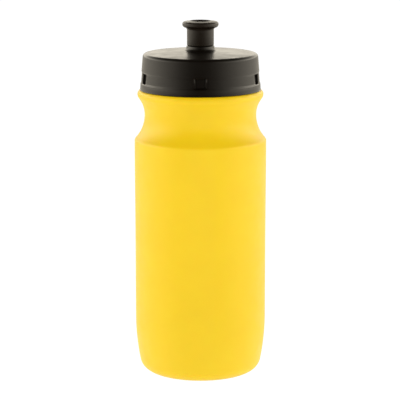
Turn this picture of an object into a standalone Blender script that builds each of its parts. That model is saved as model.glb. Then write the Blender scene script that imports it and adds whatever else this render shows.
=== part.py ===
"""Cyclist's drinking bottle: a blown body, a screw cap and a push-pull nozzle.

Metres, +Z up. The origin is the centre of the ring that the bottle stands on. Every piece is
turned about the Z axis, from an outline of (radius, height) points.
"""

import math

import bmesh
import bpy
from mathutils import Matrix

# Clearances
TOUCH_GAP = 0.0003  # between faces that meet when the bottle is shut
RUN_GAP = 0.0004  # around what turns or slides

# Body
WALL = 0.0012
BODY_RADIUS = 0.0372
BODY_HEIGHT = 0.1336  # up to where the shoulder starts to round over
SHOULDER_SWELL = 0.00015
SWELL_START = 0.060  # below the shoulder
SWELL_LENGTH = 0.050
SHOULDER_ROUND = 0.0028
WAIST_DEPTH = 0.0056
WAIST_CURVE_LOW = 0.0194
WAIST_CURVE_HIGH = 0.0161
COLLAR_SETBACK = 0.0016  # collar to body, on the radius
COLLAR_ROUND = 0.0032
COLLAR_ROUND_END = 50  # degrees above the collar's widest line
HEEL_ROUND = 0.008
HEEL_CURVE = 0.128
HEEL_HEIGHT = 0.0316
FOOT_RING_WIDTH = 0.0052
FOOT_RISE = 0.0032

# Cap
CAP_HEIGHT = 0.02045  # up to the edge of its top
CAP_SETBACK = 0.00095  # cap's foot to collar, on the radius
CAP_WALL = 0.00345
CAP_TOP_WALL = 0.0016
CAP_FOOT_HEIGHT = 0.0029
CAP_FOOT_FLARE = 0.0005
CAP_TAPER = 0.083  # radius lost per unit of height
CAP_EDGE_ROUND = 0.0021
CAP_DOME = 0.0015  # rise of the top from its edge to the tower
BAND_START = 0.0040
BAND_HEIGHT = 0.0060
BAND_DEPTH = 0.0003
SLOT_COUNT = 5
SLOT_WIDTH = 0.0059
SLOT_MARGIN = 0.0002  # band to slot, above and below
SLOT_DEPTH = 0.0015
TOWER_HEIGHT = 0.00275
TOWER_WALL = 0.0016  # at its top
TOWER_TAPER = 0.15  # radius gained per unit of depth
TOWER_FILLET = 0.0019
PLUG_RING_WALL = 0.0011
PLUG_RING_REACH = 0.0015  # into the neck

# Screw thread, right-handed
THREAD_PITCH = 0.0050
THREAD_DEPTH = 0.0013
THREAD_ROOT = 0.0026
THREAD_CREST = 0.0012
THREAD_FADE = math.radians(35)
NECK_THREAD_TURNS = 1.5
CAP_THREAD_TURNS = 1.25
THREAD_RISE = 0.0040  # collar to the neck thread's lower end

# Gasket
GASKET_THICKNESS = 0.0015

# Valve stem
STEM_RADIUS = 0.0059
STEM_WALL = 0.0012
STEM_BEAD = 0.0006
STEM_BEAD_HEIGHT = 0.0010
STEM_FLANGE_RADIUS = 0.0095
STEM_FLANGE_THICKNESS = 0.0015
PIN_RADIUS = 0.0024
PIN_STAND = 0.0003  # above the floor of the nozzle's dish
WEB_COUNT = 3
WEB_WIDTH = 0.0012
WEB_DROP = 0.0025  # below the stem's top
WEB_HEIGHT = 0.0035
WEB_EDGE = 0.0003  # left beside each flow window

# Nozzle
NOZZLE_TRAVEL = 0.0060
NOZZLE_WALL = 0.0008
NOZZLE_BEAD_HEIGHT = 0.0012
NOZZLE_FLOOR = 0.0018
DISH_DEPTH = 0.0031
MOUTH_RADIUS = 0.0057
MOUTH_ROUND = 0.0005
DISH_CORNER = 0.0008
FLANGE_WIDTH = 0.0026
FLANGE_ROUND = 0.00135
FLANGE_SIDE = 0.0004  # straight part between its two roundings
FLANGE_DROP = 0.0004  # lip to the top of the flange's rounding
FLANGE_FILLET = 0.0018

# Facets round the axis
BODY_STEPS = 48
NOZZLE_STEPS = 32
MERGE = 0.000001
OVERLAP = 0.0006  # how deep a joined feature is buried


def waist_rise(depth, curve, rounding):
    """Height from the waist to the centre of a rounding that its curve runs into."""
    return math.sqrt(depth * (2 * (curve + rounding) - depth))


# Heights that follow from the sizes above
shoulder_radius = BODY_RADIUS + SHOULDER_SWELL
waist_radius = BODY_RADIUS - WAIST_DEPTH
collar_radius = BODY_RADIUS - COLLAR_SETBACK
shoulder_depth = shoulder_radius - waist_radius
collar_depth = collar_radius - waist_radius
waist_height = BODY_HEIGHT + waist_rise(shoulder_depth, WAIST_CURVE_LOW, SHOULDER_ROUND)
collar_height = waist_height + waist_rise(collar_depth, WAIST_CURVE_HIGH, COLLAR_ROUND)
collar_top = collar_height + COLLAR_ROUND * math.sin(math.radians(COLLAR_ROUND_END))
cap_bottom = collar_top + TOUCH_GAP
cap_top = cap_bottom + CAP_HEIGHT
cap_ceiling = cap_top - CAP_TOP_WALL
gasket_top = cap_ceiling - TOUCH_GAP
gasket_bottom = gasket_top - GASKET_THICKNESS
neck_top = gasket_bottom - TOUCH_GAP
dome_top = cap_top + CAP_DOME
tower_top = dome_top + TOWER_HEIGHT
nozzle_bottom = tower_top + TOUCH_GAP
bead_top = nozzle_bottom + NOZZLE_BEAD_HEIGHT
stem_top = bead_top + NOZZLE_TRAVEL + TOUCH_GAP + STEM_BEAD_HEIGHT
nozzle_ceiling = stem_top + TOUCH_GAP
dish_floor = nozzle_ceiling + NOZZLE_FLOOR
nozzle_top = dish_floor + DISH_DEPTH

# Radii that follow
cap_radius = collar_radius - CAP_SETBACK
cap_bore = cap_radius - CAP_WALL
neck_crest = cap_bore - RUN_GAP
neck_radius = neck_crest - THREAD_DEPTH
neck_bore = neck_radius - WALL
cap_crest = neck_radius + RUN_GAP
plug_ring_radius = neck_bore - RUN_GAP
stem_bead_radius = STEM_RADIUS + STEM_BEAD
nozzle_bore = stem_bead_radius + TOUCH_GAP
nozzle_radius = nozzle_bore + NOZZLE_WALL


def arc(centre_radius, centre_height, rounding, start, end, steps):
    """Points on an arc. Angles are in degrees: 0 points outward and 90 points up."""
    points = []
    for step in range(steps + 1):
        angle = math.radians(start + (end - start) * step / steps)
        radius = centre_radius + rounding * math.cos(angle)
        points.append((radius, centre_height + rounding * math.sin(angle)))
    return points


def moved_left(line, distance):
    """The line shifted to the left of its own direction, with mitred corners."""
    normals = []
    for (radius, height), (next_radius, next_height) in zip(line, line[1:]):
        length = math.hypot(next_radius - radius, next_height - height)
        normals.append(((height - next_height) / length, (next_radius - radius) / length))
    before = normals[:1] + normals
    after = normals + normals[-1:]
    moved = []
    for (radius, height), first, second in zip(line, before, after):
        reach = distance / (1 + first[0] * second[0] + first[1] * second[1])
        moved.append((radius + reach * (first[0] + second[0]), height + reach * (first[1] + second[1])))
    return moved


def plastic(name, colour, roughness):
    material = bpy.data.materials.new(name)
    material.use_nodes = True
    shader = material.node_tree.nodes["Principled BSDF"]
    shader.inputs["Base Color"].default_value = (*colour, 1.0)
    shader.inputs["Roughness"].default_value = roughness
    shader.inputs["Metallic"].default_value = 0.0
    return material


def add_object(name, mesh, material=None):
    """An object from a bmesh, smooth where its faces meet at less than 30 degrees."""
    bmesh.ops.recalc_face_normals(mesh, faces=mesh.faces)
    data = bpy.data.meshes.new(name)
    mesh.to_mesh(data)
    mesh.free()
    data.shade_smooth()
    data.set_sharp_from_angle(angle=math.radians(30))
    if material:
        data.materials.append(material)
    item = bpy.data.objects.new(name, data)
    bpy.context.scene.collection.objects.link(item)
    return item


def turned(name, outline, steps, material):
    """A solid of revolution. The outline is a ring unless it starts and ends on the axis."""
    mesh = bmesh.new()
    points = [mesh.verts.new((radius, 0.0, height)) for radius, height in outline]
    edges = [mesh.edges.new(pair) for pair in zip(points, points[1:])]
    if outline[0][0] > 0:
        edges.append(mesh.edges.new((points[-1], points[0])))
    bmesh.ops.spin(
        mesh, geom=points + edges, axis=(0, 0, 1), angle=math.tau, steps=steps, use_merge=True
    )
    bmesh.ops.remove_doubles(mesh, verts=mesh.verts, dist=MERGE)
    return add_object(name, mesh, material)


def combine(target, tool, operation):
    """Joins the tool to the target or cuts it away. The tool itself isn't part of the bottle."""
    tool.hide_render = True
    tool.display_type = "WIRE"
    modifier = target.modifiers.new(tool.name, "BOOLEAN")
    modifier.operation = operation
    modifier.solver = "EXACT"
    modifier.object = tool


def thread(name, root, crest, start_height, start_angle, turns):
    """A helical ridge between two radii, which sinks into its wall at both ends."""
    mesh = bmesh.new()
    steps = round(turns * BODY_STEPS)
    rings = []
    for step in range(steps + 1):
        turn = math.tau * step / BODY_STEPS
        height = start_height + THREAD_PITCH * turn / math.tau
        from_end = min(turn, math.tau * steps / BODY_STEPS - turn)
        fade = min(1.0, 0.15 + 0.85 * from_end / THREAD_FADE)
        tip = root + (crest - root) * fade
        section = [
            (root, height - THREAD_ROOT / 2),
            (tip, height - THREAD_CREST / 2),
            (tip, height + THREAD_CREST / 2),
            (root, height + THREAD_ROOT / 2),
        ]
        cosine = math.cos(start_angle + turn)
        sine = math.sin(start_angle + turn)
        rings.append([mesh.verts.new((r * cosine, r * sine, z)) for r, z in section])
    for ring, following in zip(rings, rings[1:]):
        for corner in range(4):
            other = (corner + 1) % 4
            mesh.faces.new((ring[corner], ring[other], following[other], following[corner]))
    mesh.faces.new(rings[0])
    mesh.faces.new(rings[-1])
    return add_object(name, mesh)


def foot_outline():
    """From the axis over the pushed-up centre and the standing ring to the heel's rounding."""
    heel_reach = math.sqrt((HEEL_CURVE - HEEL_ROUND) ** 2 - (HEEL_HEIGHT - HEEL_ROUND) ** 2)
    ring_outside = BODY_RADIUS - HEEL_CURVE + heel_reach
    ring_inside = ring_outside - FOOT_RING_WIDTH
    dome = (ring_inside**2 + FOOT_RISE**2) / (2 * FOOT_RISE)
    dome_angle = math.degrees(math.asin(ring_inside / dome))
    points = arc(0, FOOT_RISE - dome, dome, 90, 90 - dome_angle, 4)
    tangent = -math.degrees(math.asin((HEEL_HEIGHT - HEEL_ROUND) / (HEEL_CURVE - HEEL_ROUND)))
    points += arc(ring_outside, HEEL_ROUND, HEEL_ROUND, -90, tangent, 6)
    points += arc(BODY_RADIUS - HEEL_CURVE, HEEL_HEIGHT, HEEL_CURVE, tangent, 0, 4)[1:]
    return points


def shoulder_outline():
    """The swelling under the shoulder, the shoulder, the waist and the collar."""
    swell_start = BODY_HEIGHT - SWELL_START
    points = [(BODY_RADIUS, swell_start), (shoulder_radius, swell_start + SWELL_LENGTH)]
    low_sum = WAIST_CURVE_LOW + SHOULDER_ROUND
    low_angle = math.degrees(math.asin((waist_height - BODY_HEIGHT) / low_sum))
    high_sum = WAIST_CURVE_HIGH + COLLAR_ROUND
    high_angle = math.degrees(math.asin((collar_height - waist_height) / high_sum))
    points += arc(shoulder_radius - SHOULDER_ROUND, BODY_HEIGHT, SHOULDER_ROUND, 0, low_angle, 3)
    low_centre = waist_radius + WAIST_CURVE_LOW
    points += arc(low_centre, waist_height, WAIST_CURVE_LOW, 180 + low_angle, 180, 4)[1:]
    high_centre = waist_radius + WAIST_CURVE_HIGH
    points += arc(high_centre, waist_height, WAIST_CURVE_HIGH, 180, 180 - high_angle, 4)[1:]
    collar_centre = collar_radius - COLLAR_ROUND
    points += arc(collar_centre, collar_height, COLLAR_ROUND, -high_angle, COLLAR_ROUND_END, 5)[1:]
    return points


def make_bottle():
    outside = foot_outline() + shoulder_outline()
    outside += [(neck_radius, collar_top), (neck_radius, neck_top)]
    inside = moved_left(outside, WALL)
    inside[0] = (0.0, inside[0][1])
    yellow = plastic("bottle", (0.90, 0.62, 0.02), 0.42)
    bottle = turned("bottle", outside + inside[::-1], BODY_STEPS, yellow)
    ridge = thread(
        "neck_thread",
        neck_radius - OVERLAP,
        neck_crest,
        collar_top + THREAD_RISE,
        0.0,
        NECK_THREAD_TURNS,
    )
    combine(bottle, ridge, "UNION")


def skirt_radius(height):
    """The cap's tapering outside, at a height above its foot."""
    return cap_radius - CAP_FOOT_FLARE - CAP_TAPER * height


def dome_outline(edge, foot):
    """The cap's slightly raised top, from its edge in to the tower's foot."""
    points = []
    for step in range(1, 4):
        radius = edge + (foot - edge) * step / 4
        share = (edge**2 - radius**2) / (edge**2 - foot**2)
        points.append((radius, cap_top + CAP_DOME * share))
    return points


def cap_outline():
    band_top = BAND_START + BAND_HEIGHT
    points = [(cap_radius, cap_bottom)]
    for height, depth in [
        (CAP_FOOT_HEIGHT, 0.0),
        (BAND_START, 0.0),
        (BAND_START, BAND_DEPTH),
        (band_top, BAND_DEPTH),
        (band_top, 0.0),
    ]:
        points.append((skirt_radius(height) - depth, cap_bottom + height))
    edge_height = CAP_HEIGHT - CAP_EDGE_ROUND
    edge_centre = skirt_radius(edge_height) - CAP_EDGE_ROUND
    points += arc(edge_centre, cap_bottom + edge_height, CAP_EDGE_ROUND, 0, 90, 4)
    bore = STEM_RADIUS + TOUCH_GAP
    taper = math.atan(TOWER_TAPER)
    flare = TOWER_TAPER * (TOWER_HEIGHT - TOWER_FILLET)
    fillet_centre = bore + TOWER_WALL + flare + TOWER_FILLET / math.cos(taper)
    fillet_end = 180 + math.degrees(taper)
    points += dome_outline(edge_centre, fillet_centre)
    points += arc(fillet_centre, dome_top + TOWER_FILLET, TOWER_FILLET, 270, fillet_end, 4)
    plug_end = neck_top - PLUG_RING_REACH
    points += [
        (bore + TOWER_WALL, tower_top),
        (bore, tower_top),
        (bore, cap_ceiling),
        (plug_ring_radius - PLUG_RING_WALL, cap_ceiling),
        (plug_ring_radius - PLUG_RING_WALL, plug_end),
        (plug_ring_radius, plug_end),
        (plug_ring_radius, cap_ceiling),
        (cap_bore, cap_ceiling),
        (cap_bore, cap_bottom),
    ]
    return points


def slot_cutter():
    """Five blocks, one of them facing -Y, as high as the band less its margins."""
    mesh = bmesh.new()
    low = BAND_START + SLOT_MARGIN
    high = BAND_START + BAND_HEIGHT - SLOT_MARGIN
    floor = skirt_radius((low + high) / 2) - BAND_DEPTH - SLOT_DEPTH
    outside = cap_radius + SLOT_DEPTH
    size = Matrix.Diagonal((outside - floor, SLOT_WIDTH, high - low, 1))
    place = Matrix.Translation(((floor + outside) / 2, 0, cap_bottom + (low + high) / 2))
    for slot in range(SLOT_COUNT):
        spin = Matrix.Rotation(math.tau * slot / SLOT_COUNT - math.pi / 2, 4, "Z")
        bmesh.ops.create_cube(mesh, size=1, matrix=spin @ place @ size)
    return add_object("cap_slots", mesh)


def make_cap():
    black = plastic("cap", (0.020, 0.019, 0.017), 0.38)
    cap = turned("cap", cap_outline(), BODY_STEPS, black)
    start_angle = math.pi / 2
    start_height = collar_top + THREAD_RISE + THREAD_PITCH * (start_angle / math.tau - 0.5)
    ridge = thread(
        "cap_thread", cap_bore + OVERLAP, cap_crest, start_height, start_angle, CAP_THREAD_TURNS
    )
    combine(cap, ridge, "UNION")
    combine(cap, slot_cutter(), "DIFFERENCE")


def make_gasket():
    """A flat ring between the cap's ceiling and the neck's rim."""
    inside = plug_ring_radius + TOUCH_GAP
    outside = cap_bore - TOUCH_GAP
    outline = [
        (outside, gasket_bottom),
        (outside, gasket_top),
        (inside, gasket_top),
        (inside, gasket_bottom),
    ]
    turned("cap_gasket", outline, BODY_STEPS, plastic("gasket", (0.62, 0.62, 0.60), 0.6))


def flow_window_cutter(low, high):
    """Prisms that leave the webs standing between the stem's pin and its wall."""
    mesh = bmesh.new()
    inside = PIN_RADIUS + WEB_EDGE
    outside = STEM_RADIUS - STEM_WALL - WEB_EDGE
    pitch = math.tau / WEB_COUNT
    steps = 5
    for window in range(WEB_COUNT):
        corners = []
        for radius, order in ((outside, 1), (inside, -1)):
            half = pitch / 2 - math.asin(WEB_WIDTH / 2 / radius)
            for step in range(steps + 1)[::order]:
                angle = pitch * window + half * (2 * step / steps - 1)
                corners.append((radius * math.cos(angle), radius * math.sin(angle)))
        face = mesh.faces.new([mesh.verts.new((x, y, low)) for x, y in corners])
        grown = bmesh.ops.extrude_face_region(mesh, geom=[face])["geom"]
        raised = [item for item in grown if isinstance(item, bmesh.types.BMVert)]
        bmesh.ops.translate(mesh, verts=raised, vec=(0, 0, high - low))
    return add_object("flow_windows", mesh)


def make_valve_stem():
    """The tube that the nozzle slides on, with the pin that plugs the nozzle's hole."""
    web_top = stem_top - WEB_DROP
    web_bottom = web_top - WEB_HEIGHT
    bore = STEM_RADIUS - STEM_WALL
    flange_top = cap_ceiling - TOUCH_GAP
    flange_bottom = flange_top - STEM_FLANGE_THICKNESS
    pin_top = dish_floor + PIN_STAND
    chamfer = PIN_RADIUS / 4
    bead_bottom = stem_top - STEM_BEAD_HEIGHT
    outline = [
        (0.0, web_bottom - 2 * chamfer),
        (PIN_RADIUS - 2 * chamfer, web_bottom - 2 * chamfer),
        (PIN_RADIUS, web_bottom),
        (bore, web_bottom),
        (bore, flange_bottom),
        (STEM_FLANGE_RADIUS, flange_bottom),
        (STEM_FLANGE_RADIUS, flange_top),
        (STEM_RADIUS, flange_top),
        (STEM_RADIUS, bead_bottom),
        (stem_bead_radius, bead_bottom),
        (stem_bead_radius, (bead_bottom + stem_top) / 2),
        (STEM_RADIUS, stem_top),
        (bore, stem_top),
        (bore, web_top),
        (PIN_RADIUS, web_top),
        (PIN_RADIUS, pin_top - chamfer),
        (PIN_RADIUS - chamfer, pin_top),
        (0.0, pin_top),
    ]
    stem = turned("valve_stem", outline, NOZZLE_STEPS, plastic("stem", (0.022, 0.021, 0.020), 0.35))
    windows = flow_window_cutter(web_bottom - WEB_HEIGHT, web_top + WEB_DROP)
    combine(stem, windows, "DIFFERENCE")


def make_nozzle():
    """The mouthpiece: neck, flange, dished mouth and the throat that closes on the pin."""
    flange_centre = nozzle_radius + FLANGE_WIDTH - FLANGE_ROUND
    flange_height = nozzle_top - FLANGE_DROP - FLANGE_ROUND
    fillet_height = flange_height - FLANGE_SIDE - FLANGE_ROUND - FLANGE_FILLET
    fillet_centre = nozzle_radius + FLANGE_FILLET
    lip_centre = MOUTH_RADIUS + MOUTH_ROUND
    lip_height = nozzle_top - MOUTH_ROUND
    run = flange_centre - lip_centre
    fall = lip_height - flange_height
    spread = math.asin((FLANGE_ROUND - MOUTH_ROUND) / math.hypot(run, fall))
    slope_normal = 90 - math.degrees(math.atan2(fall, run) - spread)
    throat = PIN_RADIUS + TOUCH_GAP
    outline = [(nozzle_radius, nozzle_bottom)]
    outline += arc(fillet_centre, fillet_height, FLANGE_FILLET, 180, 90, 3)
    outline += arc(flange_centre, flange_height - FLANGE_SIDE, FLANGE_ROUND, -90, 0, 4)
    outline += arc(flange_centre, flange_height, FLANGE_ROUND, 0, slope_normal, 4)
    outline += arc(lip_centre, lip_height, MOUTH_ROUND, slope_normal, 180, 3)
    corner_centre = MOUTH_RADIUS - DISH_CORNER
    outline += arc(corner_centre, dish_floor + DISH_CORNER, DISH_CORNER, 0, -90, 3)
    outline += [
        (throat, dish_floor),
        (throat, nozzle_ceiling),
        (nozzle_bore, nozzle_ceiling),
        (nozzle_bore, bead_top),
        (STEM_RADIUS + TOUCH_GAP, bead_top),
        (STEM_RADIUS + TOUCH_GAP, nozzle_bottom),
    ]
    turned("nozzle", outline, NOZZLE_STEPS, plastic("nozzle", (0.022, 0.021, 0.020), 0.40))


def main():
    for item in list(bpy.data.objects):
        bpy.data.objects.remove(item)
    make_bottle()
    make_cap()
    make_gasket()
    make_valve_stem()
    make_nozzle()


main()
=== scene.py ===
"""Looks of the cyclist's drinking bottle: fine turned meshes, moulded plastics, studio and camera.

Metres, +Z up, in the frame of the CAD parts. Outlines are (radius, height) points that run up the
outside of a piece and down its inside. Fine shapes are pressed into the turned grid: the cap's
screw thread and slots, the mould's parting line and its pinch-off scar. The neck's thread is
missing (see press_bottle).
"""

import math

import bpy
import numpy as np
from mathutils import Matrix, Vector


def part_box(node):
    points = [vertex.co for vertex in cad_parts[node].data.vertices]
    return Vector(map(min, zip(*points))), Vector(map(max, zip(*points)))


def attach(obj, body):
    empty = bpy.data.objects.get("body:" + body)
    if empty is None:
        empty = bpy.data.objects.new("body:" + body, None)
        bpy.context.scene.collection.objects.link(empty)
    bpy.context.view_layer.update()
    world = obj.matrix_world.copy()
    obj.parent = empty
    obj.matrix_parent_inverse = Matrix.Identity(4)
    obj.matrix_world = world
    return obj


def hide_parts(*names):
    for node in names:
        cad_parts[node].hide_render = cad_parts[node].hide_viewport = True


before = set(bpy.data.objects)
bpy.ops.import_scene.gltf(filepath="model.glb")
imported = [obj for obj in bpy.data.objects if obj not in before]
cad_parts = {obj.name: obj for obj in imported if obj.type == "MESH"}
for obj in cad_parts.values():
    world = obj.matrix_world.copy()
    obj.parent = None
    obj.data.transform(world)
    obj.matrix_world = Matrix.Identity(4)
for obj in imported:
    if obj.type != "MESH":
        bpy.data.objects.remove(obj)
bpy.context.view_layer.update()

MM = 0.001

# Places taken from the frame
bottle_low, bottle_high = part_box("bottle")
cap_low, cap_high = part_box("cap")
gasket_low, gasket_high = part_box("cap_gasket")
stem_low, stem_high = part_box("valve_stem")
nozzle_low, nozzle_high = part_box("nozzle")
shoulder_radius = bottle_high.x
neck_top = bottle_high.z
cap_bottom = cap_low.z
cap_radius = cap_high.x
tower_top = cap_high.z

# Body
WALL = 1.2 * MM
SHOULDER_SWELL = 0.15 * MM
BODY_HEIGHT = 133.6 * MM
SWELL_START = 60.0 * MM
SWELL_LENGTH = 50.0 * MM
SHOULDER_ROUND = 2.8 * MM
WAIST_DEPTH = 5.6 * MM
WAIST_CURVE_LOW = 19.4 * MM
WAIST_CURVE_HIGH = 16.1 * MM
COLLAR_SETBACK = 1.6 * MM
COLLAR_ROUND = 3.2 * MM
COLLAR_ROUND_END = 50
HEEL_ROUND = 8.0 * MM
HEEL_CURVE = 128.0 * MM
HEEL_HEIGHT = 31.6 * MM
FOOT_RING_WIDTH = 5.2 * MM
FOOT_RISE = 3.2 * MM
NECK_EDGE = 0.4 * MM
PARTING_HEIGHT = 0.05 * MM
PARTING_WIDTH = 0.30 * MM
SCAR_HEIGHT = 0.35 * MM
SCAR_WIDTH = 0.55 * MM
SCAR_HALF_LENGTH = 15.0 * MM
SCAR_FADE = 3.0 * MM
PARTING_START = 1.0 * MM
PARTING_FADE = 6.0 * MM

# Cap
CAP_HEIGHT = 20.45 * MM
CAP_WALL = 3.45 * MM
CAP_TOP_WALL = 1.6 * MM
CAP_FOOT_HEIGHT = 2.9 * MM
CAP_FOOT_FLARE = 0.5 * MM
CAP_TAPER = 0.083
CAP_EDGE_ROUND = 2.1 * MM
CAP_DOME = 1.5 * MM
CAP_FOOT_EDGE = 0.25 * MM
BAND_START = 4.0 * MM
BAND_HEIGHT = 6.0 * MM
BAND_DEPTH = 0.3 * MM
BAND_EDGE = 0.6 * MM
SLOT_COUNT = 5
SLOT_WIDTH = 5.9 * MM
SLOT_MARGIN = 0.2 * MM
SLOT_DEPTH = 1.5 * MM
SLOT_EDGE = 0.22 * MM
TOWER_HEIGHT = 2.75 * MM
TOWER_WALL = 1.6 * MM
TOWER_TAPER = 0.15
TOWER_FILLET = 1.9 * MM
TOWER_EDGE = 0.3 * MM
PLUG_RING_WALL = 1.1 * MM
PLUG_RING_REACH = 1.5 * MM
PLUG_RING_EDGE = 0.35 * MM

# Screw thread
RUN_GAP = 0.4 * MM
TOUCH_GAP = 0.3 * MM
THREAD_PITCH = 5.0 * MM
THREAD_DEPTH = 1.3 * MM
THREAD_ROOT = 2.6 * MM
THREAD_CREST = 1.2 * MM
THREAD_FADE = math.radians(35)
NECK_THREAD_TURNS = 1.5
CAP_THREAD_TURNS = 1.25
THREAD_RISE = 4.0 * MM

# Valve stem and nozzle
STEM_RADIUS = 5.9 * MM
STEM_WALL = 1.2 * MM
STEM_BEAD = 0.6 * MM
STEM_BEAD_HEIGHT = 1.0 * MM
STEM_FLANGE_THICKNESS = 1.5 * MM
PIN_RADIUS = 2.4 * MM
WEB_COUNT = 3
WEB_WIDTH = 1.2 * MM
WEB_DROP = 2.5 * MM
WEB_HEIGHT = 3.5 * MM
NOZZLE_WALL = 0.8 * MM
NOZZLE_BEAD_HEIGHT = 1.2 * MM
NOZZLE_TRAVEL = 6.0 * MM
NOZZLE_FLOOR = 1.8 * MM
MOUTH_RADIUS = 5.7 * MM
MOUTH_ROUND = 0.5 * MM
DISH_CORNER = 0.8 * MM
FLANGE_WIDTH = 2.6 * MM
FLANGE_ROUND = 1.35 * MM
FLANGE_SIDE = 0.4 * MM
FLANGE_DROP = 0.4 * MM
FLANGE_FILLET = 1.8 * MM

# Mesh fineness
BODY_STEPS = 216
CAP_STEPS = 216
NOZZLE_STEPS = 144
THREAD_ROW = 0.3 * MM

# Radii and heights that follow
body_radius = shoulder_radius - SHOULDER_SWELL
waist_radius = body_radius - WAIST_DEPTH
collar_radius = body_radius - COLLAR_SETBACK
collar_top = cap_bottom - TOUCH_GAP
cap_top = cap_bottom + CAP_HEIGHT
dome_top = cap_top + CAP_DOME
cap_ceiling = cap_top - CAP_TOP_WALL
cap_bore = cap_radius - CAP_WALL
neck_crest = cap_bore - RUN_GAP
neck_radius = neck_crest - THREAD_DEPTH
neck_bore = neck_radius - WALL
plug_ring_radius = neck_bore - RUN_GAP
stem_bead_radius = STEM_RADIUS + STEM_BEAD
nozzle_bore = stem_bead_radius + TOUCH_GAP
nozzle_radius = nozzle_bore + NOZZLE_WALL
bead_top = nozzle_low.z + NOZZLE_BEAD_HEIGHT
stem_top = bead_top + NOZZLE_TRAVEL + TOUCH_GAP + STEM_BEAD_HEIGHT
nozzle_ceiling = stem_top + TOUCH_GAP
dish_floor = nozzle_ceiling + NOZZLE_FLOOR


# ---------------------------------------------------------------- outlines


def arc(centre_radius, centre_height, rounding, start, end, steps):
    """Points on an arc. Angles are in degrees: 0 points outward and 90 points up."""
    angles = np.radians(np.linspace(start, end, steps + 1))
    radii = centre_radius + rounding * np.cos(angles)
    heights = centre_height + rounding * np.sin(angles)
    return list(zip(radii, heights))


def rounded(corners, steps=4):
    """A line through (radius, height, rounding) corners, with each corner rounded off."""
    places = [np.array(corner[:2]) for corner in corners]
    points = [tuple(places[0])]
    for before, here, after, corner in zip(places, places[1:], places[2:], corners[1:-1]):
        back = (before - here) / np.linalg.norm(before - here)
        on = (after - here) / np.linalg.norm(after - here)
        half = math.acos(np.clip(back @ on, -1, 1)) / 2
        if corner[2] == 0 or half > math.radians(89):
            points.append(tuple(here))
            continue
        start = here + back * corner[2] / math.tan(half)
        centre = here + (back + on) / np.linalg.norm(back + on) * corner[2] / math.sin(half)
        first = start - centre
        sweep = math.pi - 2 * half
        turn = math.copysign(sweep, first[0] * on[1] - first[1] * on[0])
        for share in np.linspace(0, turn, steps + 1):
            cosine, sine = math.cos(share), math.sin(share)
            offset = (first[0] * cosine - first[1] * sine, first[0] * sine + first[1] * cosine)
            points.append((centre[0] + offset[0], centre[1] + offset[1]))
    points.append(tuple(places[-1]))
    return points


def divided(line, spacing):
    """The same line with extra points, so that no stretch is longer than the spacing."""
    points = [line[0]]
    for (radius, height), (next_radius, next_height) in zip(line, line[1:]):
        length = math.hypot(next_radius - radius, next_height - height)
        pieces = max(1, math.ceil(length / spacing))
        for step in range(1, pieces + 1):
            share = step / pieces
            points.append(
                (radius + (next_radius - radius) * share, height + (next_height - height) * share)
            )
    return points


def moved_left(line, distance):
    """The line shifted to the left of its own direction, with mitred corners."""
    points = np.array(line)
    along = np.diff(points, axis=0)
    along /= np.linalg.norm(along, axis=1)[:, None]
    normals = np.stack([-along[:, 1], along[:, 0]], axis=1)
    before = np.vstack([normals[:1], normals])
    after = np.vstack([normals, normals[-1:]])
    reach = distance / (1 + (before * after).sum(axis=1))
    return [tuple(point) for point in points + reach[:, None] * (before + after)]


# ---------------------------------------------------------------- turned meshes


def turn_angles(steps, centres=(), offsets=()):
    """Even steps round the axis, with extra ones at each centre plus each offset, in radians."""
    even = np.linspace(0, math.tau, steps, endpoint=False)
    extra = np.array([centre + offset for centre in centres for offset in offsets]) % math.tau
    if len(extra):
        gap = np.abs((even[:, None] - extra[None, :] + math.pi) % math.tau - math.pi).min(axis=1)
        even = even[gap > 0.2 * math.tau / steps]
    return np.unique(np.round(np.concatenate([even, extra]), 6))


def turned(name, outline, angles, shape=None, sharp=50):
    """A closed solid of revolution. shape(angle, radius, height) returns the pressed-in radius and
    height. The outline is a ring unless it starts and ends on the axis."""
    line = np.array(outline)
    radius, angle = np.meshgrid(line[:, 0], angles)
    height = np.meshgrid(line[:, 1], angles)[0]
    if shape:
        radius, height = shape(angle, radius, height)
    grid = np.stack([radius * np.cos(angle), radius * np.sin(angle), height], axis=-1)
    turns, count = grid.shape[:2]
    index = np.arange(turns * count).reshape(turns, count)
    on_axis = line[:, 0] < 1e-9
    for column in np.flatnonzero(on_axis):
        index[:, column] = index[0, column]
    following = np.roll(index, -1, axis=0)
    columns = range(count - 1) if on_axis[0] else range(count)
    faces = []
    for column in columns:
        other = (column + 1) % count
        ring = np.stack(
            [index[:, column], following[:, column], following[:, other], index[:, other]], axis=1
        )
        if on_axis[column]:
            ring = ring[:, [0, 2, 3]]
        elif on_axis[other]:
            ring = ring[:, [0, 1, 2]]
        faces += ring.tolist()
    return add_mesh(name, grid.reshape(-1, 3), faces, sharp)


def add_mesh(name, points, faces, sharp=50):
    """An object whose loose points are dropped and whose faces point out."""
    used, faces_flat = np.unique(np.concatenate([np.array(face) for face in faces]), return_inverse=True)
    packed = []
    start = 0
    for face in faces:
        packed.append(faces_flat[start : start + len(face)].tolist())
        start += len(face)
    data = bpy.data.meshes.new(name)
    data.from_pydata(points[used].tolist(), [], packed)
    data.validate()
    data.shade_smooth()
    data.set_sharp_from_angle(angle=math.radians(sharp))
    item = bpy.data.objects.new(name, data)
    bpy.context.scene.collection.objects.link(item)
    return face_out(item)


def face_out(item):
    """Turns the faces round if the solid is inside out."""
    data = item.data
    data.calc_loop_triangles()
    corners = np.empty(len(data.loop_triangles) * 3, np.int32)
    data.loop_triangles.foreach_get("vertices", corners)
    places = np.empty(len(data.vertices) * 3, np.float64)
    data.vertices.foreach_get("co", places)
    triangles = places.reshape(-1, 3)[corners.reshape(-1, 3)]
    if np.linalg.det(triangles).sum() < 0:
        data.flip_normals()
    return item


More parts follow.
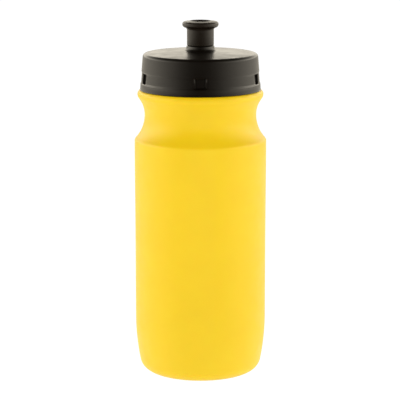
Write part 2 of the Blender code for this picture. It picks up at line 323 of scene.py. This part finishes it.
def bump(distance, width):
    """1 on the line, falling smoothly to 0 at half the width on each side."""
    share = np.clip(1 - np.abs(distance) * 2 / width, 0, 1)
    return share * share * (3 - 2 * share)


def rise(inside, width):
    """0 outside an edge and 1 inside it, rising smoothly over the width."""
    share = np.clip(inside / width + 0.5, 0, 1)
    return share * share * (3 - 2 * share)


def thread_ridge(angle, height, start_height, start_angle, turns):
    """How far a screw thread stands out at each place, from 0 at its root to 1 at its crest."""
    reach = np.zeros_like(height)
    full = math.tau * turns
    for lap in range(math.ceil(turns) + 1):
        turn = (angle - start_angle) % math.tau + math.tau * lap
        middle = start_height + THREAD_PITCH * turn / math.tau
        away = np.abs(height - middle)
        flank = (THREAD_ROOT - THREAD_CREST) / 2
        ridge = np.clip((THREAD_ROOT / 2 - away) / flank, 0, 1)
        fade = np.clip(np.minimum(turn, full - turn) / THREAD_FADE, 0, 1)
        reach = np.maximum(reach, ridge * ridge * (3 - 2 * ridge) * np.sqrt(fade))
    return reach


# ---------------------------------------------------------------- bottle


def foot_outline(fineness):
    """From the axis over the pushed-up centre and the standing ring to the heel's rounding."""
    heel_reach = math.sqrt((HEEL_CURVE - HEEL_ROUND) ** 2 - (HEEL_HEIGHT - HEEL_ROUND) ** 2)
    ring_outside = body_radius - HEEL_CURVE + heel_reach
    ring_inside = ring_outside - FOOT_RING_WIDTH
    dome = (ring_inside**2 + FOOT_RISE**2) / (2 * FOOT_RISE)
    dome_angle = math.degrees(math.asin(ring_inside / dome))
    points = arc(0, FOOT_RISE - dome, dome, 90, 90 - dome_angle, 7 * fineness)
    points[0] = (0.0, FOOT_RISE)
    tangent = -math.degrees(math.asin((HEEL_HEIGHT - HEEL_ROUND) / (HEEL_CURVE - HEEL_ROUND)))
    points += arc(ring_outside, HEEL_ROUND, HEEL_ROUND, -90, tangent, 6 * fineness)
    heel_centre = body_radius - HEEL_CURVE
    points += arc(heel_centre, HEEL_HEIGHT, HEEL_CURVE, tangent, 0, 5 * fineness)[1:]
    return points


def waist_rise(depth, curve, rounding):
    """Height from the waist to the centre of a rounding that its curve runs into."""
    return math.sqrt(depth * (2 * (curve + rounding) - depth))


def shoulder_outline(fineness):
    """The swelling under the shoulder, the shoulder, the waist and the collar."""
    low_rise = waist_rise(shoulder_radius - waist_radius, WAIST_CURVE_LOW, SHOULDER_ROUND)
    high_rise = waist_rise(collar_radius - waist_radius, WAIST_CURVE_HIGH, COLLAR_ROUND)
    waist_height = BODY_HEIGHT + low_rise
    swell_start = BODY_HEIGHT - SWELL_START
    points = []
    for share in np.linspace(0, 1, 3 * fineness):
        swell = SHOULDER_SWELL * share * share * (3 - 2 * share)
        points.append((body_radius + swell, swell_start + SWELL_LENGTH * share))
    low_angle = math.degrees(math.asin(low_rise / (WAIST_CURVE_LOW + SHOULDER_ROUND)))
    high_angle = math.degrees(math.asin(high_rise / (WAIST_CURVE_HIGH + COLLAR_ROUND)))
    edge = shoulder_radius - SHOULDER_ROUND
    points += arc(edge, BODY_HEIGHT, SHOULDER_ROUND, 0, low_angle, 4 * fineness)
    low_centre = waist_radius + WAIST_CURVE_LOW
    low_start = 180 + low_angle
    points += arc(low_centre, waist_height, WAIST_CURVE_LOW, low_start, 180, 6 * fineness)[1:]
    high_centre = waist_radius + WAIST_CURVE_HIGH
    high_end = 180 - high_angle
    points += arc(high_centre, waist_height, WAIST_CURVE_HIGH, 180, high_end, 6 * fineness)[1:]
    collar_centre = collar_radius - COLLAR_ROUND
    collar_height = waist_height + high_rise
    points += arc(
        collar_centre, collar_height, COLLAR_ROUND, -high_angle, COLLAR_ROUND_END, 6 * fineness
    )[1:]
    return points


def press_bottle(angle, radius, height):
    """The parting line up both sides and the pinch-off scar underneath.

    The neck's thread belongs here too, but it doesn't come out: the neck's rows run in a straight
    line from its foot's rounding, so none of them lies on neck_radius.
    """
    on_neck = (np.abs(radius - neck_radius) < 1e-6) & (height > collar_top)
    ridge = thread_ridge(angle, height, collar_top + THREAD_RISE, 0.0, NECK_THREAD_TURNS)
    pressed = radius + np.where(on_neck, ridge * THREAD_DEPTH, 0)
    across = radius * np.sin(angle)
    outside = (radius > waist_radius - WALL / 2) & (height > PARTING_START) & (height < collar_top)
    fade = np.clip((height - PARTING_START) / PARTING_FADE, 0, 1)
    pressed += np.where(outside, bump(across, PARTING_WIDTH) * PARTING_HEIGHT * fade, 0)
    underneath = (radius < SCAR_HALF_LENGTH + 1 * MM) & (height < FOOT_RISE + WALL / 2)
    ends = np.clip((SCAR_HALF_LENGTH - np.abs(radius * np.cos(angle))) / SCAR_FADE, 0, 1)
    scar = bump(across, SCAR_WIDTH) * ends * SCAR_HEIGHT
    return pressed, height - np.where(underneath, scar, 0)


def make_bottle():
    outside = foot_outline(3) + shoulder_outline(3)
    outside = divided(outside, 8 * MM)
    collar_end = outside[-1]
    neck = rounded(
        [
            (*collar_end, 0),
            (neck_radius, collar_top, 0.5 * MM),
            (neck_radius, neck_top, NECK_EDGE),
            (neck_bore, neck_top, NECK_EDGE),
            (neck_bore, collar_top, 0),
        ]
    )
    upper = [point for point in neck if point[1] > collar_top + 1 * MM]
    lower = [point for point in neck[1:] if point not in upper and point[0] > neck_bore + WALL / 2]
    rows = divided([lower[-1], upper[0]], THREAD_ROW)[1:-1]
    inside = moved_left(foot_outline(1) + shoulder_outline(1) + [(neck_radius, collar_top)], WALL)
    corner = (neck_bore, collar_top - WALL)
    inside = [(0.0, FOOT_RISE + WALL)] + inside[1:-1] + [corner]
    side_offsets = np.radians([-0.9, -0.45, -0.23, -0.1, 0, 0.1, 0.23, 0.45, 0.9])
    angles = turn_angles(BODY_STEPS, (0, math.pi), side_offsets)
    outline = outside + lower + rows + upper + inside[::-1]
    return turned("bottle_body", outline, angles, press_bottle)


# ---------------------------------------------------------------- cap


def skirt_radius(height):
    """The cap's tapering outside, at a height above its foot."""
    return cap_radius - CAP_FOOT_FLARE - CAP_TAPER * height


def slot_angles():
    return [math.tau * slot / SLOT_COUNT - math.pi / 2 for slot in range(SLOT_COUNT)]


def press_cap(angle, radius, height):
    """The slots in the band and the thread inside the skirt."""
    above = height - cap_bottom
    outer = (radius > cap_bore + 1.2 * MM) & (above < CAP_HEIGHT / 2)
    low = BAND_START + SLOT_MARGIN
    high = BAND_START + BAND_HEIGHT - SLOT_MARGIN
    tall = rise(above - low, SLOT_EDGE) * rise(high - above, SLOT_EDGE)
    wide = np.zeros_like(angle)
    for centre in slot_angles():
        away = np.abs((angle - centre + math.pi) % math.tau - math.pi) * radius
        wide = np.maximum(wide, rise(SLOT_WIDTH / 2 - away, SLOT_EDGE))
    pressed = radius - np.where(outer, tall * wide * SLOT_DEPTH, 0)
    start_angle = math.pi / 2
    start_height = collar_top + THREAD_RISE + THREAD_PITCH * (start_angle / math.tau - 0.5)
    ridge = thread_ridge(angle, height, start_height, start_angle, CAP_THREAD_TURNS)
    inner = np.abs(radius - cap_bore) < 1e-6
    return pressed - np.where(inner, ridge * THREAD_DEPTH, 0), height


def skirt_place(height, depth=0.0):
    """(radius, height) of a point on the skirt, at a height above its foot."""
    return skirt_radius(height) - depth, cap_bottom + height


def dome_outline(edge, foot, steps=10):
    """The cap's slightly raised top, from its edge in to the tower's foot."""
    radii = np.linspace(edge, foot, steps + 1)[1:-1]
    heights = cap_top + CAP_DOME * (edge**2 - radii**2) / (edge**2 - foot**2)
    return list(zip(radii, heights))


def skirt_outline():
    """Up the skirt from its foot to the edge of the top, with rows for the slots' edges."""
    band_top = BAND_START + BAND_HEIGHT
    line = rounded(
        [
            (cap_bore + 1 * MM, cap_bottom, 0),
            (cap_radius, cap_bottom, CAP_FOOT_EDGE),
            (*skirt_place(CAP_FOOT_HEIGHT), 2 * MM),
            (*skirt_place(BAND_START - BAND_EDGE), BAND_EDGE),
            (*skirt_place(BAND_START + BAND_EDGE, BAND_DEPTH), BAND_EDGE),
            (*skirt_place(band_top - BAND_EDGE, BAND_DEPTH), BAND_EDGE),
            (*skirt_place(band_top + BAND_EDGE), BAND_EDGE),
            (*skirt_place(CAP_HEIGHT - CAP_EDGE_ROUND), 0),
        ],
        steps=6,
    )
    rows = list(np.linspace(BAND_START + 1 * MM, band_top - 1 * MM, 6))
    for edge in (BAND_START + SLOT_MARGIN, band_top - SLOT_MARGIN):
        rows += list(edge + np.linspace(-0.5, 0.5, 9) * SLOT_EDGE)
    for row in rows:
        height = cap_bottom + row
        after = next(i for i, point in enumerate(line) if point[1] > height)
        (low_radius, low), (high_radius, high) = line[after - 1 : after + 1]
        if min(height - low, high - height) > 0.01 * MM:
            share = (height - low) / (high - low)
            line.insert(after, (low_radius + (high_radius - low_radius) * share, height))
    return line


def tower_outline(edge):
    """Over the raised top and up the flared tower to its rim."""
    rim = STEM_RADIUS + TOUCH_GAP + TOWER_WALL
    taper = math.atan(TOWER_TAPER)
    flare = TOWER_TAPER * (TOWER_HEIGHT - TOWER_FILLET)
    foot = rim + flare + TOWER_FILLET / math.cos(taper)
    line = dome_outline(edge, foot)
    end = 180 + math.degrees(taper)
    line += arc(foot, dome_top + TOWER_FILLET, TOWER_FILLET, 270, end, 12)
    return line, rim


def cap_outline():
    """Up the skirt, over the top and the tower, down the tower's bore and round the inside."""
    edge_height = CAP_HEIGHT - CAP_EDGE_ROUND
    edge = skirt_radius(edge_height) - CAP_EDGE_ROUND
    outside = skirt_outline()
    outside += arc(edge, cap_bottom + edge_height, CAP_EDGE_ROUND, 4, 88, 14)
    tower, rim = tower_outline(edge)
    outside += tower
    bore = STEM_RADIUS + TOUCH_GAP
    ring_inside = plug_ring_radius - PLUG_RING_WALL
    plug_end = neck_top - PLUG_RING_REACH
    inside = rounded(
        [
            outside.pop() + (0,),
            (rim, tower_top, TOWER_EDGE),
            (bore, tower_top, TOWER_EDGE),
            (bore, cap_ceiling, TOWER_EDGE),
            (ring_inside, cap_ceiling, 0.4 * MM),
            (ring_inside, plug_end, PLUG_RING_EDGE),
            (plug_ring_radius, plug_end, PLUG_RING_EDGE),
            (plug_ring_radius, cap_ceiling, 0.3 * MM),
            (cap_bore, cap_ceiling, 0.2 * MM),
            (cap_bore, cap_bottom, 0.4 * MM),
            (cap_bore + 1 * MM, cap_bottom, 0),
        ]
    )
    corner = max(i for i, point in enumerate(inside) if point[1] > cap_bottom + 15 * MM)
    inside[corner : corner + 2] = divided(inside[corner : corner + 2], THREAD_ROW)
    return outside + inside[:-1]


def make_cap():
    edge_angle = SLOT_WIDTH / 2 / cap_radius
    soft = SLOT_EDGE / cap_radius
    edges = np.linspace(-0.75, 0.55, 9) * soft
    offsets = np.concatenate([-edge_angle + edges, edge_angle - edges])
    angles = turn_angles(CAP_STEPS, slot_angles(), offsets)
    return turned("cap_shell", cap_outline(), angles, press_cap, sharp=60)


def make_gasket():
    """A flat ring with softly rounded edges."""
    inside = plug_ring_radius + TOUCH_GAP
    middle = (inside + gasket_high.x) / 2
    outline = rounded(
        [
            (middle, gasket_low.z, 0),
            (gasket_high.x, gasket_low.z, 0.3 * MM),
            (gasket_high.x, gasket_high.z, 0.3 * MM),
            (inside, gasket_high.z, 0.3 * MM),
            (inside, gasket_low.z, 0.3 * MM),
            (middle, gasket_low.z, 0),
        ]
    )
    return turned("seal_ring", outline[:-1], turn_angles(CAP_STEPS))


# ---------------------------------------------------------------- valve stem and nozzle


def make_stem_tube():
    """The tube with its flange under the cap and the bead that stops the nozzle."""
    bore = STEM_RADIUS - STEM_WALL
    flange_bottom = stem_low.z
    flange_top = flange_bottom + STEM_FLANGE_THICKNESS
    bead_bottom = stem_top - STEM_BEAD_HEIGHT
    middle = (bead_bottom + stem_top) / 2
    outline = rounded(
        [
            (bore + 1 * MM, flange_bottom, 0),
            (stem_high.x, flange_bottom, 0.3 * MM),
            (stem_high.x, flange_top, 0.3 * MM),
            (STEM_RADIUS, flange_top, 0.2 * MM),
            (STEM_RADIUS, bead_bottom, 0.1 * MM),
            (stem_bead_radius, bead_bottom, 0.15 * MM),
            (stem_bead_radius, middle, 0.3 * MM),
            (STEM_RADIUS, stem_top, 0.2 * MM),
            (bore, stem_top, 0.2 * MM),
            (bore, flange_bottom, 0.3 * MM),
            (bore + 1 * MM, flange_bottom, 0),
        ]
    )
    return turned("stem_tube", outline[:-1], turn_angles(NOZZLE_STEPS))


def make_stem_pin():
    """The pin that plugs the nozzle's hole, with a rounded tip."""
    web_bottom = stem_top - WEB_DROP - WEB_HEIGHT
    top = stem_high.z
    outline = rounded(
        [
            (0.0, web_bottom - 1.2 * MM, 0),
            (PIN_RADIUS - 1.2 * MM, web_bottom - 1.2 * MM, 0.4 * MM),
            (PIN_RADIUS, web_bottom, 0.6 * MM),
            (PIN_RADIUS, top, 0.6 * MM),
            (0.0, top, 0),
        ],
        steps=6,
    )
    return turned("stem_pin", outline, turn_angles(NOZZLE_STEPS))


def make_stem_web(number):
    """One of the webs between the pin and the tube, with rounded upper and lower edges."""
    inner = PIN_RADIUS - 0.3 * MM
    outer = STEM_RADIUS - STEM_WALL + 0.3 * MM
    top = stem_top - WEB_DROP
    bottom = top - WEB_HEIGHT
    section = rounded(
        [
            (0, bottom, 0),
            (WEB_WIDTH / 2, bottom, 0.3 * MM),
            (WEB_WIDTH / 2, top, 0.3 * MM),
            (-WEB_WIDTH / 2, top, 0.3 * MM),
            (-WEB_WIDTH / 2, bottom, 0.3 * MM),
            (0, bottom, 0),
        ]
    )[:-1]
    angle = math.tau * (number + 0.5) / WEB_COUNT
    points = []
    for reach in np.linspace(inner, outer, 5):
        for side, height in section:
            x = reach * math.cos(angle) - side * math.sin(angle)
            y = reach * math.sin(angle) + side * math.cos(angle)
            points.append((x, y, height))
    count = len(section)
    faces = [list(range(count)), list(range(4 * count, 5 * count))[::-1]]
    for step in range(4):
        for corner in range(count):
            other = (corner + 1) % count
            here, there = step * count, (step + 1) * count
            faces.append([here + corner, there + corner, there + other, here + other])
    return add_mesh(f"stem_web_{number + 1}", np.array(points), faces)


def make_nozzle():
    """The mouthpiece: neck, flange, dished mouth and the throat that closes on the pin."""
    flange_centre = nozzle_radius + FLANGE_WIDTH - FLANGE_ROUND
    flange_height = nozzle_high.z - FLANGE_DROP - FLANGE_ROUND
    fillet_height = flange_height - FLANGE_SIDE - FLANGE_ROUND - FLANGE_FILLET
    fillet_centre = nozzle_radius + FLANGE_FILLET
    lip_centre = MOUTH_RADIUS + MOUTH_ROUND
    lip_height = nozzle_high.z - MOUTH_ROUND
    run = flange_centre - lip_centre
    fall = lip_height - flange_height
    spread = math.asin((FLANGE_ROUND - MOUTH_ROUND) / math.hypot(run, fall))
    slope_normal = 90 - math.degrees(math.atan2(fall, run) - spread)
    throat = PIN_RADIUS + TOUCH_GAP
    bead = STEM_RADIUS + TOUCH_GAP
    middle = (bead + nozzle_radius) / 2
    outline = rounded(
        [
            (middle, nozzle_low.z, 0),
            (nozzle_radius, nozzle_low.z, 0.25 * MM),
            (nozzle_radius, fillet_height, 0),
        ]
    )
    outline += arc(fillet_centre, fillet_height, FLANGE_FILLET, 180, 90, 10)[1:]
    outline += arc(flange_centre, flange_height - FLANGE_SIDE, FLANGE_ROUND, -90, 0, 12)[1:]
    outline += arc(flange_centre, flange_height, FLANGE_ROUND, 0, slope_normal, 12)
    outline += arc(lip_centre, lip_height, MOUTH_ROUND, slope_normal, 180, 10)
    corner_centre = MOUTH_RADIUS - DISH_CORNER
    outline += arc(corner_centre, dish_floor + DISH_CORNER, DISH_CORNER, 0, -80, 8)
    outline += rounded(
        [
            (corner_centre, dish_floor, 0),
            (throat, dish_floor, 0.25 * MM),
            (throat, nozzle_ceiling, 0.25 * MM),
            (nozzle_bore, nozzle_ceiling, 0.3 * MM),
            (nozzle_bore, bead_top, 0),
            (bead, bead_top - 0.3 * MM, 0.1 * MM),
            (bead, nozzle_low.z, 0.25 * MM),
            (middle, nozzle_low.z, 0),
        ]
    )[:-1]
    return turned("mouthpiece", outline, turn_angles(NOZZLE_STEPS))


# ---------------------------------------------------------------- materials


def add_node(tree, kind, place=(0, 0), **settings):
    node = tree.nodes.new(kind)
    node.location = place
    for key, value in settings.items():
        setattr(node, key, value)
    return node


def noise_of(tree, scale, detail, place, roughness=0.5):
    """Noise in the object's own coordinates. The scale is in cycles per metre."""
    coordinates = add_node(tree, "ShaderNodeTexCoord", (place[0] - 200, place[1]))
    noise = add_node(tree, "ShaderNodeTexNoise", place)
    noise.inputs["Scale"].default_value = scale
    noise.inputs["Detail"].default_value = detail
    noise.inputs["Roughness"].default_value = roughness
    tree.links.new(coordinates.outputs["Object"], noise.inputs["Vector"])
    return noise.outputs["Fac"]


def ranged(tree, value, low, high, place):
    """Stretches the middle of a noise to the range from low to high."""
    node = add_node(tree, "ShaderNodeMapRange", place)
    node.inputs["From Min"].default_value = 0.3
    node.inputs["From Max"].default_value = 0.7
    node.inputs["To Min"].default_value = low
    node.inputs["To Max"].default_value = high
    tree.links.new(value, node.inputs["Value"])
    return node.outputs["Result"]


def tinted(tree, value, first, second, place):
    """A colour between two, as the value goes from 0 to 1."""
    ramp = add_node(tree, "ShaderNodeValToRGB", place)
    ramp.color_ramp.elements[0].color = (*first, 1)
    ramp.color_ramp.elements[1].color = (*second, 1)
    ramp.color_ramp.elements[0].position = 0.3
    ramp.color_ramp.elements[1].position = 0.7
    tree.links.new(value, ramp.inputs["Fac"])
    return ramp.outputs["Color"]


def bumped(tree, value, distance, strength, place, after=None):
    node = add_node(tree, "ShaderNodeBump", place)
    node.inputs["Distance"].default_value = distance
    node.inputs["Strength"].default_value = strength
    tree.links.new(value, node.inputs["Height"])
    if after:
        tree.links.new(after, node.inputs["Normal"])
    return node.outputs["Normal"]


def plastic(name, first, second, rough, grain, ripple):
    """Moulded plastic: a slow drift of colour and gloss, a moulded grain and slight ripples.

    grain and ripple are (cycles per metre, height in metres, strength)."""
    material = bpy.data.materials.new(name)
    material.use_nodes = True
    tree = material.node_tree
    shader = tree.nodes["Principled BSDF"]
    drift = noise_of(tree, 55, 3, (-900, 300))
    tree.links.new(tinted(tree, drift, first, second, (-500, 300)), shader.inputs["Base Color"])
    gloss = noise_of(tree, 160, 4, (-900, 0))
    tree.links.new(ranged(tree, gloss, *rough, (-500, 0)), shader.inputs["Roughness"])
    waves = bumped(tree, noise_of(tree, ripple[0], 2, (-900, -300)), *ripple[1:], (-500, -300))
    fine = noise_of(tree, grain[0], 3, (-900, -600), 0.6)
    normal = bumped(tree, fine, *grain[1:], (-250, -400), waves)
    tree.links.new(normal, shader.inputs["Normal"])
    return material, shader


def bottle_plastic():
    """Soft polyethylene that lets some light through."""
    material, shader = plastic(
        "yellow_polyethylene",
        (0.850, 0.565, 0.0008),
        (0.870, 0.585, 0.0020),
        (0.40, 0.50),
        (5200, 0.02 * MM, 0.25),
        (90, 0.08 * MM, 0.3),
    )
    shader.inputs["IOR"].default_value = 1.51
    shader.inputs["Subsurface Weight"].default_value = 0.35
    shader.inputs["Subsurface Radius"].default_value = (1.0, 0.55, 0.12)
    shader.inputs["Subsurface Scale"].default_value = 2.0 * MM
    return material


def black_plastic(name, depth, rough, grain_height):
    """Warm black. depth scales its colour."""
    material, shader = plastic(
        name,
        (0.0040 * depth, 0.0026 * depth, 0.0014 * depth),
        (0.0054 * depth, 0.0036 * depth, 0.0021 * depth),
        rough,
        (4200, grain_height, 0.3),
        (120, 0.05 * MM, 0.2),
    )
    shader.inputs["IOR"].default_value = 1.49
    return material


def seal_rubber():
    material, shader = plastic(
        "seal_silicone",
        (0.55, 0.55, 0.53),
        (0.63, 0.63, 0.61),
        (0.55, 0.70),
        (3000, 0.03 * MM, 0.3),
        (150, 0.05 * MM, 0.2),
    )
    shader.inputs["IOR"].default_value = 1.42
    return material


# ---------------------------------------------------------------- studio


def ramp_of(tree, stops, place, warmth=(1, 1, 1)):
    """A smooth colour ramp through (position, level) stops."""
    node = add_node(tree, "ShaderNodeValToRGB", place)
    ramp = node.color_ramp
    ramp.interpolation = "CARDINAL"
    while len(ramp.elements) < len(stops):
        ramp.elements.new(0.5)
    for element, (position, level) in zip(ramp.elements, stops):
        element.position = position
        element.color = (*(level * share for share in warmth), 1)
    return node


# Share of the brightness round the studio, from the near side (0) to the far side (1)
AROUND = [
    (0.0, 0.01),
    (0.0955, 0.11),
    (0.172, 0.22),
    (0.265, 0.34),
    (0.517, 0.60),
    (0.687, 0.66),
    (0.86, 0.50),
    (1.0, 0.46),
]
# Share of the brightness from straight down (0) over the horizon (0.5) to overhead (1)
UPWARD = [
    (0.0, 0.28),
    (0.36, 0.44),
    (0.47, 0.33),
    (0.53, 0.42),
    (0.60, 1.00),
    (0.70, 0.45),
    (0.84, 0.045),
    (1.0, 0.03),
]
STUDIO_WARMTH = (1.0, 0.925, 0.78)
STUDIO_STRENGTH = 6.4
BACKGROUND_STRENGTH = 1.05
FLOOR_RADIUS = 0.75
FLOOR_DEPTH = 12 * MM
FLOOR_EDGE = 4 * MM
FLOOR_DROP = 0.05 * MM
CAMERA_PLACE = (-0.00024, -1.0963, 0.3098)
CAMERA_TILT = 10.88  # degrees below level
CAMERA_LENS = 175.7


def soft_world():
    """Soft light all round: brightest just above the horizon, dim in front and overhead. To the
    camera the surroundings are plain white."""
    world = bpy.data.worlds.new("studio")
    bpy.context.scene.world = world
    world.use_nodes = True
    tree = world.node_tree
    tree.nodes.clear()
    coordinates = add_node(tree, "ShaderNodeTexCoord", (-1200, 0))
    flat = add_node(tree, "ShaderNodeVectorMath", (-1000, 100), operation="MULTIPLY")
    flat.inputs[1].default_value = (1, 1, 0)
    level = add_node(tree, "ShaderNodeVectorMath", (-800, 100), operation="NORMALIZE")
    split = add_node(tree, "ShaderNodeSeparateXYZ", (-600, 100))
    around_share = half_shifted(tree, (-400, 100))
    around = ramp_of(tree, AROUND, (-200, 100), STUDIO_WARMTH)
    direction = add_node(tree, "ShaderNodeSeparateXYZ", (-600, -200))
    upward_share = half_shifted(tree, (-400, -200))
    upward = ramp_of(tree, UPWARD, (-200, -200))
    both = add_node(tree, "ShaderNodeVectorMath", (0, 0), operation="MULTIPLY")
    studio = add_node(tree, "ShaderNodeBackground", (200, 0))
    studio.inputs["Strength"].default_value = STUDIO_STRENGTH
    white = add_node(tree, "ShaderNodeBackground", (200, -200))
    white.inputs["Strength"].default_value = BACKGROUND_STRENGTH
    white.inputs["Color"].default_value = (1, 1, 1, 1)
    path = add_node(tree, "ShaderNodeLightPath", (200, 300))
    mix = add_node(tree, "ShaderNodeMixShader", (400, 0))
    out = add_node(tree, "ShaderNodeOutputWorld", (600, 0))
    link = tree.links.new
    link(coordinates.outputs["Generated"], flat.inputs[0])
    link(flat.outputs["Vector"], level.inputs[0])
    link(level.outputs["Vector"], split.inputs["Vector"])
    link(split.outputs["Y"], around_share.inputs[0])
    link(around_share.outputs["Value"], around.inputs["Fac"])
    link(coordinates.outputs["Generated"], direction.inputs["Vector"])
    link(direction.outputs["Z"], upward_share.inputs[0])
    link(upward_share.outputs["Value"], upward.inputs["Fac"])
    link(around.outputs["Color"], both.inputs[0])
    link(upward.outputs["Color"], both.inputs[1])
    link(both.outputs["Vector"], studio.inputs["Color"])
    link(path.outputs["Is Camera Ray"], mix.inputs["Fac"])
    link(studio.outputs["Background"], mix.inputs[1])
    link(white.outputs["Background"], mix.inputs[2])
    link(mix.outputs["Shader"], out.inputs["Surface"])


def half_shifted(tree, place):
    """Turns the range from -1 to 1 into the range from 0 to 1."""
    node = add_node(tree, "ShaderNodeMath", place, operation="MULTIPLY_ADD")
    node.inputs[1].default_value = 0.5
    node.inputs[2].default_value = 0.5
    return node


def soft_panel(name, place, aim, size, power):
    """A large soft light that fills in the colours without showing in the gloss."""
    data = bpy.data.lights.new(name, "AREA")
    data.shape = "RECTANGLE"
    data.size, data.size_y = size
    data.energy = power
    lamp = bpy.data.objects.new(name, data)
    bpy.context.scene.collection.objects.link(lamp)
    lamp.location = place
    direction = np.array(aim) - np.array(place)
    lamp.rotation_euler = Vector(direction).to_track_quat("-Z", "Y").to_euler()
    lamp.visible_glossy = False
    return lamp


def make_floor():
    """A round table top that glows white, so that the bottle throws hardly any shadow."""
    angles = turn_angles(128)
    outline = rounded(
        [
            (0.0, -FLOOR_DEPTH, 0),
            (FLOOR_RADIUS, -FLOOR_DEPTH, FLOOR_EDGE),
            (FLOOR_RADIUS, 0.0, FLOOR_EDGE),
            (0.0, 0.0, 0),
        ]
    )
    floor = turned("floor", outline, angles)
    floor.location.z = -FLOOR_DROP
    material = bpy.data.materials.new("pale_floor")
    material.use_nodes = True
    tree = material.node_tree
    shader = tree.nodes["Principled BSDF"]
    shader.inputs["Base Color"].default_value = (0.10, 0.10, 0.10, 1)
    shader.inputs["Roughness"].default_value = 0.9
    shader.inputs["Specular IOR Level"].default_value = 0.1
    shader.inputs["Emission Color"].default_value = (1, 1, 1, 1)
    shader.inputs["Emission Strength"].default_value = 1.0
    floor.data.materials.append(material)
    floor.visible_glossy = False


def make_camera():
    """About a metre off, a little above the cap, looking down."""
    data = bpy.data.cameras.new("camera")
    data.lens = CAMERA_LENS
    data.sensor_width = 36.0
    data.clip_start = 0.05
    data.clip_end = 20
    camera = bpy.data.objects.new("camera", data)
    bpy.context.scene.collection.objects.link(camera)
    camera.location = CAMERA_PLACE
    camera.rotation_euler = (math.radians(90 - CAMERA_TILT), 0, 0)
    bpy.context.scene.camera = camera


# ---------------------------------------------------------------- assembly


def dress(item, material, body, slot, *nodes):
    item.data.materials.append(material)
    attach(item, body)
    if nodes:
        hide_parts(*nodes)


def main():
    dress(make_bottle(), bottle_plastic(), "bottle", "bottle_plastic", "bottle")
    cap_black = black_plastic("cap_black", 0.8, (0.28, 0.36), 0.012 * MM)
    dress(make_cap(), cap_black, "cap", "cap_plastic", "cap")
    dress(make_gasket(), seal_rubber(), "gasket", "gasket_rubber", "cap_gasket")
    stem_black = black_plastic("stem_black", 1.2, (0.20, 0.28), 0.006 * MM)
    dress(make_stem_tube(), stem_black, "cap", "stem_plastic", "valve_stem")
    dress(make_stem_pin(), stem_black, "cap", "stem_plastic")
    for number in range(WEB_COUNT):
        dress(make_stem_web(number), stem_black, "cap", "stem_plastic")
    nozzle_black = black_plastic("nozzle_black", 2.2, (0.34, 0.44), 0.010 * MM)
    dress(make_nozzle(), nozzle_black, "nozzle", "nozzle_plastic", "nozzle")
    make_floor()
    soft_world()
    soft_panel("front_fill", (0, -1.6, 0.25), (0, 0, 0.1), (1.6, 0.8), 10)
    soft_panel("left_fill", (-1.3, -0.9, 0.3), (0, 0, 0.1), (0.8, 0.8), 3)
    soft_panel("right_fill", (1.3, -0.9, 0.3), (0, 0, 0.1), (0.8, 0.8), 3)
    soft_panel("top_fill", (0, -0.5, 1.3), (0, 0, 0.15), (1.2, 1.2), 4)
    make_camera()
    bpy.context.scene.view_settings.view_transform = "Standard"


main()
